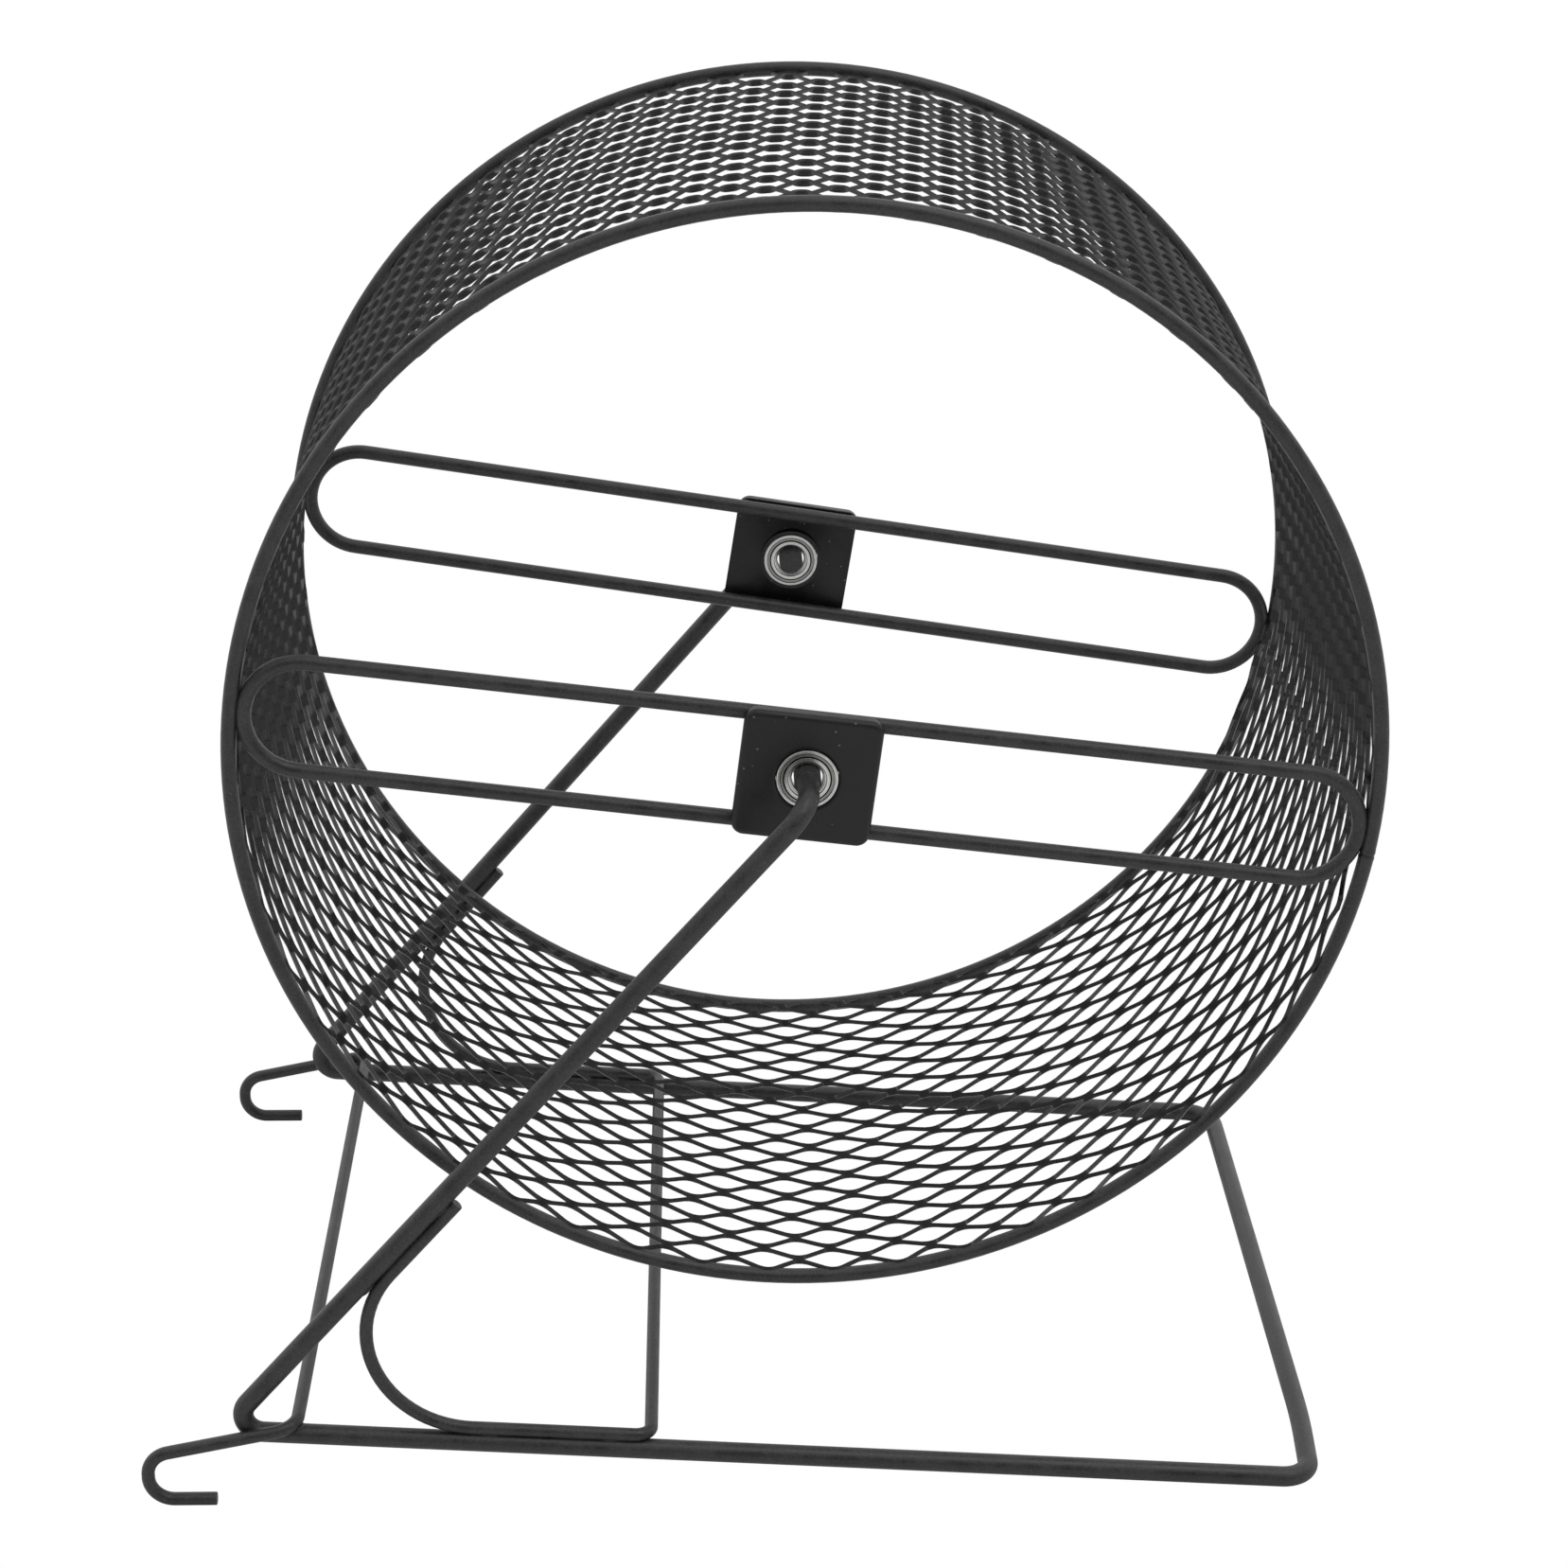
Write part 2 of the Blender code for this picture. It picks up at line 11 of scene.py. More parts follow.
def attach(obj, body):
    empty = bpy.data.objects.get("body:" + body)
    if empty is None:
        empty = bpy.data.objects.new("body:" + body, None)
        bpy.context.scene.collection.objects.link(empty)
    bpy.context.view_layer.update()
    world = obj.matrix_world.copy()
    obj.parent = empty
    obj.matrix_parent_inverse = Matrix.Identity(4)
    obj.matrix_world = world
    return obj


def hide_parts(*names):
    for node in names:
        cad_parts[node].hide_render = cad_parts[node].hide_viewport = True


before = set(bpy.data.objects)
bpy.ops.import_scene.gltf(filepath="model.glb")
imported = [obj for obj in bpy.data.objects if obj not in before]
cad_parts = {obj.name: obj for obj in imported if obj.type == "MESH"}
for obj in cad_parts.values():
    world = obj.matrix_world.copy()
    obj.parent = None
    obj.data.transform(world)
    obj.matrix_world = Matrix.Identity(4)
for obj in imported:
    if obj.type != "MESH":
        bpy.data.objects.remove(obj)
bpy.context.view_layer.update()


# Camera
# It looks at the front of the wheel from a little above the rim, down at about 22 degrees.

camera_place = Vector((-0.01264, -0.94314, 0.54611))
camera_right = Vector((0.99973, -0.02253, 0.00491))
camera_up = Vector((0.00391, 0.37570, 0.92673))
camera_turn = Matrix((camera_right, camera_up, camera_right.cross(camera_up))).transposed().to_4x4()
camera_data = bpy.data.cameras.new("camera")
camera_data.lens = 82.65
camera_data.sensor_width = 36
camera = bpy.data.objects.new("camera", camera_data)
camera.matrix_world = Matrix.Translation(camera_place) @ camera_turn
bpy.context.scene.collection.objects.link(camera)
bpy.context.scene.camera = camera
bpy.context.scene.view_settings.view_transform = "Standard"


# Floor and light
# A plain white floor that runs out of sight, a surround that is bright overhead and behind the wheel
# and dark in front of it, and one weak, broad lamp above the right shoulder.

floor_reach = 30
floor_material = bpy.data.materials.new("floor_white")
floor_material.use_nodes = True
floor_nodes = floor_material.node_tree.nodes
floor_links = floor_material.node_tree.links
floor_shader = floor_nodes["Principled BSDF"]
floor_shader.inputs["Base Color"].default_value = (0.8, 0.8, 0.8, 1)
floor_shader.inputs["Roughness"].default_value = 0.9
floor_seen = floor_nodes.new("ShaderNodeEmission")
floor_seen.inputs["Color"].default_value = (1, 1, 1, 1)
floor_seen.inputs["Strength"].default_value = 1
floor_path = floor_nodes.new("ShaderNodeLightPath")
floor_mix = floor_nodes.new("ShaderNodeMixShader")
floor_links.new(floor_path.outputs["Is Camera Ray"], floor_mix.inputs["Fac"])
floor_links.new(floor_shader.outputs["BSDF"], floor_mix.inputs[1])
floor_links.new(floor_seen.outputs["Emission"], floor_mix.inputs[2])
floor_links.new(floor_mix.outputs["Shader"], floor_nodes["Material Output"].inputs["Surface"])
floor_corners = [(-floor_reach, -floor_reach, 0), (floor_reach, -floor_reach, 0),
                 (floor_reach, floor_reach, 0), (-floor_reach, floor_reach, 0)]
floor_mesh = bpy.data.meshes.new("floor")
floor_mesh.from_pydata(floor_corners, [], [(0, 1, 2, 3)])
floor_mesh.materials.append(floor_material)
floor = bpy.data.objects.new("floor", floor_mesh)
bpy.context.scene.collection.objects.link(floor)

brightest_towards = (0.0, 0.75, 0.66)
darkest_light = 0.12
brightest_light = 1.1
surround = bpy.data.worlds.new("surround")
surround.use_nodes = True
surround_nodes = surround.node_tree.nodes
surround_links = surround.node_tree.links
surround_light = surround_nodes["Background"]
surround_light.inputs["Color"].default_value = (1, 1, 1, 1)
direction = surround_nodes.new("ShaderNodeTexCoord")
up_and_back = surround_nodes.new("ShaderNodeVectorMath")
up_and_back.operation = "DOT_PRODUCT"
up_and_back.inputs[1].default_value = brightest_towards
surround_links.new(direction.outputs["Generated"], up_and_back.inputs[0])
fade = surround_nodes.new("ShaderNodeMapRange")
fade.inputs["From Min"].default_value = -0.6
fade.inputs["From Max"].default_value = 0.4
fade.inputs["To Min"].default_value = darkest_light
fade.inputs["To Max"].default_value = brightest_light
surround_links.new(up_and_back.outputs["Value"], fade.inputs["Value"])
surround_links.new(fade.outputs["Result"], surround_light.inputs["Strength"])
surround_seen = surround_nodes.new("ShaderNodeBackground")
surround_seen.inputs["Color"].default_value = (1, 1, 1, 1)
surround_seen.inputs["Strength"].default_value = 1
surround_path = surround_nodes.new("ShaderNodeLightPath")
surround_mix = surround_nodes.new("ShaderNodeMixShader")
surround_links.new(surround_path.outputs["Is Camera Ray"], surround_mix.inputs["Fac"])
surround_links.new(surround_light.outputs["Background"], surround_mix.inputs[1])
surround_links.new(surround_seen.outputs["Background"], surround_mix.inputs[2])
surround_links.new(surround_mix.outputs["Shader"], surround_nodes["World Output"].inputs["Surface"])
bpy.context.scene.world = surround

lamp_way = Vector((0.35, -0.22, 0.9))
lamp_data = bpy.data.lights.new("overhead", "SUN")
lamp_data.energy = 0.4
lamp_data.angle = math.radians(30)
lamp = bpy.data.objects.new("overhead", lamp_data)
lamp.rotation_euler = lamp_way.to_track_quat("Z", "Y").to_euler()
bpy.context.scene.collection.objects.link(lamp)


# Stand frame
# One thick steel wire bent cold: axle stub, strut, rail and cross rail, and back to the other stub.
# It is powder coated black, in a fine satin grain with a few light specks.

mottle_scale = 160
speck_scale = 300
speck_colour = (0.10, 0.10, 0.10, 1)


def powder_coat_group():
    """Node group with the grain, mottling and specks of a sprayed and baked powder coat."""
    group = bpy.data.node_groups.new("powder_coat_grain", "ShaderNodeTree")
    for name, kind in (("Colour", "NodeSocketColor"), ("Light Colour", "NodeSocketColor"),
                       ("Grain Scale", "NodeSocketFloat"), ("Smoothest", "NodeSocketFloat"),
                       ("Roughest", "NodeSocketFloat"), ("Speck Size", "NodeSocketFloat")):
        group.interface.new_socket(name=name, in_out="INPUT", socket_type=kind)
    for name, kind in (("Colour", "NodeSocketColor"), ("Roughness", "NodeSocketFloat"),
                       ("Height", "NodeSocketFloat")):
        group.interface.new_socket(name=name, in_out="OUTPUT", socket_type=kind)
    nodes = group.nodes
    links = group.links
    given = nodes.new("NodeGroupInput")
    result = nodes.new("NodeGroupOutput")
    place = nodes.new("ShaderNodeTexCoord")

    grain = nodes.new("ShaderNodeTexNoise")
    grain.inputs["Detail"].default_value = 2
    links.new(place.outputs["Object"], grain.inputs["Vector"])
    links.new(given.outputs["Grain Scale"], grain.inputs["Scale"])
    mottle = nodes.new("ShaderNodeTexNoise")
    mottle.inputs["Scale"].default_value = mottle_scale
    mottle.inputs["Detail"].default_value = 3
    links.new(place.outputs["Object"], mottle.inputs["Vector"])

    half_mottle = nodes.new("ShaderNodeMath")
    half_mottle.operation = "MULTIPLY"
    half_mottle.inputs[1].default_value = 0.5
    links.new(mottle.outputs["Fac"], half_mottle.inputs[0])
    average = nodes.new("ShaderNodeMath")
    average.operation = "MULTIPLY_ADD"
    average.inputs[1].default_value = 0.5
    links.new(grain.outputs["Fac"], average.inputs[0])
    links.new(half_mottle.outputs["Value"], average.inputs[2])
    lighter = nodes.new("ShaderNodeMapRange")
    lighter.inputs["From Min"].default_value = 0.35
    lighter.inputs["From Max"].default_value = 0.75
    links.new(average.outputs["Value"], lighter.inputs["Value"])
    coat = nodes.new("ShaderNodeMix")
    coat.data_type = "RGBA"
    links.new(lighter.outputs["Result"], coat.inputs["Factor"])
    links.new(given.outputs["Colour"], coat.inputs["A"])
    links.new(given.outputs["Light Colour"], coat.inputs["B"])

    cells = nodes.new("ShaderNodeTexVoronoi")
    cells.inputs["Scale"].default_value = speck_scale
    links.new(place.outputs["Object"], cells.inputs["Vector"])
    near = nodes.new("ShaderNodeMath")
    near.operation = "LESS_THAN"
    links.new(cells.outputs["Distance"], near.inputs[0])
    links.new(given.outputs["Speck Size"], near.inputs[1])
    specked = nodes.new("ShaderNodeMix")
    specked.data_type = "RGBA"
    specked.inputs["B"].default_value = speck_colour
    links.new(near.outputs["Value"], specked.inputs["Factor"])
    links.new(coat.outputs["Result"], specked.inputs["A"])
    links.new(specked.outputs["Result"], result.inputs["Colour"])

    rough = nodes.new("ShaderNodeMapRange")
    rough.inputs["From Min"].default_value = 0.3
    rough.inputs["From Max"].default_value = 0.7
    links.new(mottle.outputs["Fac"], rough.inputs["Value"])
    links.new(given.outputs["Smoothest"], rough.inputs["To Min"])
    links.new(given.outputs["Roughest"], rough.inputs["To Max"])
    links.new(rough.outputs["Result"], result.inputs["Roughness"])
    links.new(grain.outputs["Fac"], result.inputs["Height"])
    return group


coat_grain = powder_coat_group()


def powder_coat(name, colour, light_colour, grain_scale, smoothest, roughest, speck_size, relief, ior):
    """Black powder coat with the grain group's values for one finish."""
    material = bpy.data.materials.new(name)
    material.use_nodes = True
    nodes = material.node_tree.nodes
    links = material.node_tree.links
    shader = nodes["Principled BSDF"]
    shader.inputs["IOR"].default_value = ior
    grain = nodes.new("ShaderNodeGroup")
    grain.node_tree = coat_grain
    grain.inputs["Colour"].default_value = (*colour, 1)
    grain.inputs["Light Colour"].default_value = (*light_colour, 1)
    grain.inputs["Grain Scale"].default_value = grain_scale
    grain.inputs["Smoothest"].default_value = smoothest
    grain.inputs["Roughest"].default_value = roughest
    grain.inputs["Speck Size"].default_value = speck_size
    bump = nodes.new("ShaderNodeBump")
    bump.inputs["Strength"].default_value = 0.6
    bump.inputs["Distance"].default_value = relief
    links.new(grain.outputs["Height"], bump.inputs["Height"])
    links.new(grain.outputs["Colour"], shader.inputs["Base Color"])
    links.new(grain.outputs["Roughness"], shader.inputs["Roughness"])
    links.new(bump.outputs["Normal"], shader.inputs["Normal"])
    return material


wire_coat = powder_coat("wire_powder_coat", (0.008, 0.008, 0.0081), (0.044, 0.044, 0.0445),
                        grain_scale=1500, smoothest=0.36, roughest=0.52, speck_size=0.045,
                        relief=0.00009, ior=1.5)


def add_piece(name, points, faces, material, body, slot, replaced=(), place=(0, 0, 0), crease=40):
    """Smooth-shaded piece with its finish, riding on a body in place of the named nodes."""
    mesh = bpy.data.meshes.new(name)
    mesh.from_pydata(points, [], faces)
    mesh.validate()
    mesh.shade_smooth()
    mesh.set_sharp_from_angle(angle=math.radians(crease))
    mesh.materials.append(material)
    piece = bpy.data.objects.new(name, mesh)
    piece.location = place
    bpy.context.scene.collection.objects.link(piece)
    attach(piece, body)
    if replaced:
        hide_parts(*replaced)


bend_step = math.radians(5)
least_bend_steps = 6


def bent_path(corners, bends):
    """Points and directions along a wire whose inner corners are rounded to the given radii."""
    path = [(corners[0], (corners[1] - corners[0]).normalized())]
    for before, corner, after, bend in zip(corners, corners[1:], corners[2:], bends):
        back = (before - corner).normalized()
        ahead = (after - corner).normalized()
        inside = back.angle(ahead)
        turn = math.pi - inside
        centre = corner + (back + ahead).normalized() * bend / math.sin(inside / 2)
        spoke = corner + back * bend / math.tan(inside / 2) - centre
        axis = ahead.cross(back)
        steps = max(least_bend_steps, math.ceil(turn / bend_step))
        for step in range(steps + 1):
            rotation = Matrix.Rotation(turn * step / steps, 3, axis)
            path.append((centre + rotation @ spoke, rotation @ -back))
    path.append((corners[-1], (corners[-1] - corners[-2]).normalized()))
    return path


def round_ends(path, radius, edge):
    """Rows of (point, direction, radius) along a wire, with both cut ends rounded over by the coat."""
    (first, first_way), (last, last_way) = path[0], path[-1]
    start = []
    finish = []
    edge_steps = 4
    for step in range(edge_steps + 1):
        angle = math.pi / 2 * step / edge_steps
        depth = edge * (1 - math.cos(angle))
        rim = radius - edge * (1 - math.sin(angle))
        start.append((first + first_way * depth, first_way, rim))
        finish.append((last - last_way * depth, last_way, rim))
    middle = [(point, way, radius) for point, way in path[1:-1]]
    return start + middle + finish[::-1]


def wire_tube(rows, sides, closed=False):
    """Points and faces of a round wire along rows of (point, direction, radius)."""
    points = []
    normal = rows[0][1].orthogonal().normalized()
    before = rows[0][1]
    for point, way, radius in rows:
        normal = (before.rotation_difference(way) @ normal).normalized()
        before = way
        across = way.cross(normal)
        for side in range(sides):
            angle = 2 * math.pi * side / sides
            points.append(point + (normal * math.cos(angle) + across * math.sin(angle)) * radius)
    faces = []
    count = len(rows)
    for row in range(count if closed else count - 1):
        here = row * sides
        there = (row + 1) % count * sides
        for side in range(sides):
            beside = (side + 1) % sides
            faces.append((here + side, here + beside, there + beside, there + side))
    if not closed:
        faces.append(tuple(range(sides))[::-1])
        faces.append(tuple(range((count - 1) * sides, count * sides)))
    return points, faces


def at_back(point):
    """The point's mirror image in the back half of the stand."""
    return Vector((point.x, -point.y, point.z))


hub = Vector((0.01425, 0, 0.2015))
stand_radius = 0.00275
stand_sides = 32
stub_end_y = 0.08255
axle_rise = 0.00092
rail_y = 0.108
strut_top_y = 0.1119
rail_slope = 0.0604
foot_x = 0.15365
foot_z = stand_radius
front_foot_x = 0.15245
bow_x = 0.15425
bow_y = 0.078
heel_x = -0.14235
stub_bend = 0.008
heel_bend = 0.0055
front_foot_bend = 0.0085
bow_bend = 0.3
back_foot_bend = 0.009
stand_cut_edge = 0.0005
stub_end = Vector((hub.x, -stub_end_y, hub.z + axle_rise))
strut_top = Vector((hub.x, -strut_top_y, hub.z + axle_rise))
heel = Vector((heel_x, -rail_y, foot_z + rail_slope * (foot_x - heel_x)))
front_foot = Vector((front_foot_x, -rail_y, foot_z))
bow = Vector((bow_x, -bow_y, foot_z))
back_foot = Vector((foot_x, rail_y, foot_z))
stand_corners = [stub_end, strut_top, heel, front_foot, bow, back_foot,
                 at_back(heel), at_back(strut_top), at_back(stub_end)]
stand_bends = (stub_bend, heel_bend, front_foot_bend, bow_bend, back_foot_bend, heel_bend, stub_bend)
stand_rows = round_ends(bent_path(stand_corners, stand_bends), stand_radius, stand_cut_edge)
add_piece("stand_frame_wire", *wire_tube(stand_rows, stand_sides), wire_coat, "stand", "wire_coat",
          ["stand_frame"])

# Each stub is upset a little thicker where it is pushed into its bearing. The profile gives the
# distance from the stub's end and the radius there.
front_and_back = ((-1, "front"), (1, "back"))
upset_radius = 0.0035
upset_drop = 0.00045
upset_sink = 0.0001
upset_profile = [(0.0001, stand_radius - upset_sink), (0.0004, upset_radius), (0.0112, upset_radius),
                 (0.0120, upset_radius - upset_sink), (0.0130, stand_radius - upset_sink)]
upset_middle = Vector((hub.x, 0, hub.z + axle_rise - upset_drop))
for side, label in front_and_back:
    outwards = Vector((0, side, 0))
    upset_rows = [(upset_middle + outwards * (stub_end_y + reach), outwards, radius)
                  for reach, radius in upset_profile]
    add_piece(label + "_stub_upset", *wire_tube(upset_rows, stand_sides), wire_coat, "stand", "wire_coat")


# Hook wire
# A thinner steel wire across both rails at the strut end, welded on and coated with them. Its ends are
# bent outwards and curl under, to hang the stand on a cage bar.

thin_radius = 0.0018
thin_sides = 24
weld_sink = 0.0004
stack = stand_radius + thin_radius - weld_sink
hook_cross_x = -0.12205
hook_curl_x = -0.1623
hook_leg_x = -0.14415
hook_drop = 0.0085
curl_bend = 0.0068
hook_cross_bend = 0.006
hook_cut_edge = 0.0003
hook_cross_z = foot_z + rail_slope * (foot_x - hook_cross_x) + stack
hook_y = rail_y + stack


def mirrored(front_run):
    """The front half of a stand wire followed by its mirror image at the back."""
    return front_run + [at_back(point) for point in reversed(front_run)]


hook_run = mirrored([Vector((hook_leg_x, -hook_y, thin_radius)),
                     Vector((hook_curl_x, -hook_y, thin_radius)),
                     Vector((hook_curl_x, -hook_y, hook_cross_z - hook_drop)),
                     Vector((hook_cross_x, -hook_y, hook_cross_z))])
hook_bends = (curl_bend, curl_bend, hook_cross_bend, hook_cross_bend, curl_bend, curl_bend)
hook_rows = round_ends(bent_path(hook_run, hook_bends), thin_radius, hook_cut_edge)
add_piece("hook_cross_wire", *wire_tube(hook_rows, thin_sides), wire_coat, "stand", "wire_coat",
          ["hook_wire"])


# Brace wire
# A thin steel wire under each strut that swings down on to the rail, joined by a run across the rails.
# It is welded to both and coated with them.

brace_reach = 0.095
brace_offset = 0.0416
brace_heel_bend = 0.029
brace_cross_bend = 0.0045
brace_cut_edge = 0.0004
along_strut = (strut_top - heel).normalized()
along_rail = Vector((1, 0, -rail_slope)).normalized()
across_strut = Vector((along_strut.z, 0, -along_strut.x)).normalized()
across_rail = Vector((-along_rail.z, 0, along_rail.x))
strut_line = heel + across_strut * stack
rail_line = heel + across_rail * stack
bend_share = (rail_line - strut_line).dot(across_rail) / along_strut.dot(across_rail)
brace_cross_x = hub.x - brace_offset
brace_run = mirrored([strut_line + along_strut * brace_reach, strut_line + along_strut * bend_share,
                      rail_line + along_rail * (brace_cross_x - heel.x) / along_rail.x])
brace_bends = (brace_heel_bend, brace_cross_bend, brace_cross_bend, brace_heel_bend)
brace_rows = round_ends(bent_path(brace_run, brace_bends), thin_radius, brace_cut_edge)
add_piece("brace_cross_wire", *wire_tube(brace_rows, thin_sides), wire_coat, "stand", "wire_coat",
          ["brace_wire"])


# Stand welds
# Spot welds under the coat where the thin wires lie on the stand wire: a low bead squeezed out of
# each joint, long where the two wires run side by side and round where they cross.

# Half the length, half the width and the height of each kind of bead
round_bead = (0.0021, 0.0021, 0.0006)
long_bead = (0.0030, 0.0014, 0.0006)
bead_offset = stand_radius - weld_sink / 2
strut_weld_reaches = (0.091, 0.060)
rail_weld_reaches = (0.072, 0.104)
lump_share = 0.10
lump_scale = 2.1
lump_spread = 900


def weld_bead(name, centre, along, away, size):
    """Low lumpy bead with its long axis along the joint and its short axis away from it."""
    length, width, height = size
    across = along.cross(away).normalized()
    points = []
    faces = []
    rows = 12
    sides = 20
    for row in range(rows + 1):
        rise = math.pi * row / rows
        for side in range(sides):
            turn = 2 * math.pi * side / sides
            local = Vector((math.cos(rise), math.sin(rise) * math.cos(turn),
                            math.sin(rise) * math.sin(turn)))
            lump = 1 + lump_share * noise.noise(local * lump_scale + centre * lump_spread)
            points.append(centre + (along * local.x * length + across * local.y * width
                                    + away * local.z * height) * lump)
    for row in range(rows):
        for side in range(sides):
            beside = (side + 1) % sides
            faces.append((row * sides + side, row * sides + beside,
                          (row + 1) * sides + beside, (row + 1) * sides + side))
    add_piece(name, points, faces, wire_coat, "stand", "wire_coat", crease=180)


for side, label in front_and_back:
    flip = Vector((1, -side, 1))
    hook_joint = Vector((hook_cross_x, side * rail_y, hook_cross_z - thin_radius))
    weld_bead(label + "_hook_weld", hook_joint, Vector((0, 1, 0)), Vector((0, 0, 1)), round_bead)
    for kind, along, away, reaches in (("strut", along_strut, across_strut, strut_weld_reaches),
                                       ("rail", along_rail, across_rail, rail_weld_reaches)):
        for number, reach in enumerate(reaches):
            joint = (heel + along * reach + away * bead_offset) * flip
            weld_bead(f"{label}_{kind}_weld_{number + 1}", joint, along * flip, away * flip, long_bead)


# Wheel rings
# Two hoops of steel wire, each bent to a circle and butt welded, with a shallow notch at the joint
# and a low swelling on both sides of it. They have the stand's coat.

ring_radius = 0.14795
wheel_wire_radius = 0.00205
wheel_wire_sides = 24
ring_y = 0.085
seam_angle = math.radians(-9.2)
notch_depth = 0.00022
notch_width = 0.00016
swell_height = 0.00010
swell_place = 0.0008
swell_width = 0.0005
seam_stations = [0.004, 0.0026, 0.0017, 0.0011, 0.0007, 0.00045, 0.0003, 0.00018, 0.00008]
seam_clearance = 1.3
hoop_steps = 216


def hoop_rows():
    """Rows along one ring, close together at the butt joint, where the wire dips and swells."""
    before_seam = [-station / ring_radius for station in seam_stations]
    after_seam = [-angle for angle in reversed(before_seam)]
    full_turn = 2 * math.pi
    clear = after_seam[-1] * seam_clearance
    spread = [full_turn * step / hoop_steps for step in range(1, hoop_steps)]
    spread = [angle for angle in spread if clear < angle < full_turn - clear]
    rows = []
    for angle in before_seam + [0] + after_seam + spread:
        distance = min(abs(angle), full_turn - angle) * ring_radius
        notch = notch_depth * math.exp(-(distance / notch_width) ** 2)
        swell = swell_height * math.exp(-((distance - swell_place) / swell_width) ** 2)
        here = seam_angle + angle
        point = Vector((math.cos(here), 0, math.sin(here))) * ring_radius
        way = Vector((-math.sin(here), 0, math.cos(here)))
        rows.append((point, way, wheel_wire_radius - notch + swell))
    return rows


for side, label in front_and_back:
    add_piece(label + "_hoop", *wire_tube(hoop_rows(), wheel_wire_sides, closed=True), wire_coat, "wheel",
              "wire_coat", [label + "_ring"], place=hub + Vector((0, side * ring_y, 0)))


# Running mesh
# Raised expanded steel: a sheet slit and stretched into diamonds, so each strand lies tilted. The
# strip is rolled inside the rings and welded to them, and its two ends overlap.

mesh_coat = powder_coat("mesh_powder_coat", (0.002, 0.002, 0.0021), (0.010, 0.010, 0.0102),
                        grain_scale=3200, smoothest=0.20, roughest=0.32, speck_size=0.03,
                        relief=0.00003, ior=1.45)
mesh_radius = 0.1462
mesh_width = 0.1714
mesh_lift = 0.0003
mesh_shift = 0.0001
strand_count = 29
strand_spacing = mesh_width / strand_count
strand_width = 0.00112
strand_thickness = 0.00058
strand_tilt = math.radians(-57)
pitches_per_turn = 50.4
half_pitch = math.pi * mesh_radius / pitches_per_turn
bond_half = 0.0014
inner_bond = 0.0009
near_bend = 0.0004
far_half = 0.0003
far_bend = 0.0020
overlap_pitches = 0.8
overlap_length = overlap_pitches * 2 * half_pitch
overlap_inset = 0.0017
tail_length = 0.060
first_angle = math.radians(-10.96)
column_skew = -0.065
back_reach = 0.010
back_flare = 0.0010
front_reach = 0.007
front_flare = 0.0005
drum_unevenness = 0.00025
drum_waves = (9, 0.21, 7.1)
strand_unevenness = 0.00010
strand_waves = (55, 1.7, 0.3)


def eased_ramp(distance, start, first_bend, end, last_bend):
    """0 up to the start, 1 from the end, and straight between the two soft bends."""
    zero_at = start + first_bend / 2
    slope = 1 / (end - last_bend / 2 - zero_at)
    if distance <= start:
        return 0
    if distance < start + first_bend:
        return slope * (distance - start) ** 2 / (2 * first_bend)
    if distance <= end - last_bend:
        return slope * (distance - zero_at)
    if distance < end:
        return 1 - slope * (end - distance) ** 2 / (2 * last_bend)
    return 1


def eased(share):
    """0 to 1 with a soft start and a soft end."""
    return share * share * (3 - 2 * share)


def wander(distance, strand, waves):
    """Smooth noise over the strip, from its scale along it, its scale across it and its layer."""
    along, across, layer = waves
    return noise.noise(Vector((distance * along, strand * across, layer)))


# Stations along half a pitch, from one bond to the next, with how far each edge has crossed over by
# then. An edge bends sharply at the end of its own bond and softly where it passes the next one.
rising = [0, inner_bond, bond_half, bond_half + near_bend, far_half + far_bend]
bond_stations = 3
half_stations = rising + [half_pitch / 2] + [half_pitch - distance for distance in rising[:0:-1]]
half_steps = len(half_stations)
near_share = [eased_ramp(distance, bond_half, near_bend, half_pitch - far_half, far_bend)
              for distance in half_stations]
far_share = [1 - eased_ramp(half_pitch - distance, bond_half, near_bend, half_pitch - far_half, far_bend)
             for distance in half_stations]
half_pitches = round(2 * (pitches_per_turn + overlap_pitches))
strip_length = half_pitches * half_pitch
strand_rise = Vector((0, strand_width * math.cos(strand_tilt), strand_width * math.sin(strand_tilt)))
bond_edge = Vector((0, strand_spacing / 2, 0))
crossing = strand_rise - Vector((0, strand_spacing, 0))


def strand_edges(strand, number):
    """The two long edges of a strand at a station, the one on the back ring's side first."""
    half, step = divmod(number, half_steps)
    side = 1 if (strand + half) % 2 == 0 else -1
    near = (bond_edge + crossing * near_share[step]) * side
    far = (bond_edge - strand_rise + crossing * far_share[step]) * side
    distance = half * half_pitch + half_stations[step]
    tail = min(1, max(0, (distance - strip_length + overlap_length + tail_length) / tail_length))
    radius = mesh_radius - overlap_inset * eased(tail)
    radius += drum_unevenness * wander(distance, strand, drum_waves)
    middle = mesh_shift + (strand + 0.5 - strand_count / 2) * strand_spacing
    middle += strand_unevenness * wander(distance, strand, strand_waves)
    edges = []
    for edge in (near, far):
        along = middle + edge.y
        reach, flare = (back_reach, back_flare) if along > mesh_shift else (front_reach, front_flare)
        edge_share = max(0, (abs(along - mesh_shift) - mesh_width / 2 + reach) / reach)
        edges.append(Vector((distance, along, radius + edge.z + flare * edge_share ** 2)))
    return edges if side > 0 else edges[::-1]


def bond_side(strand, number):
    """1 in a bond with the next strand, -1 in a bond with the strand before, and 0 between bonds."""
    half, step = divmod(number, half_steps)
    side = 1 if (strand + half) % 2 == 0 else -1
    if step < bond_stations:
        return side
    if step > half_steps - bond_stations:
        return -side
    return 0


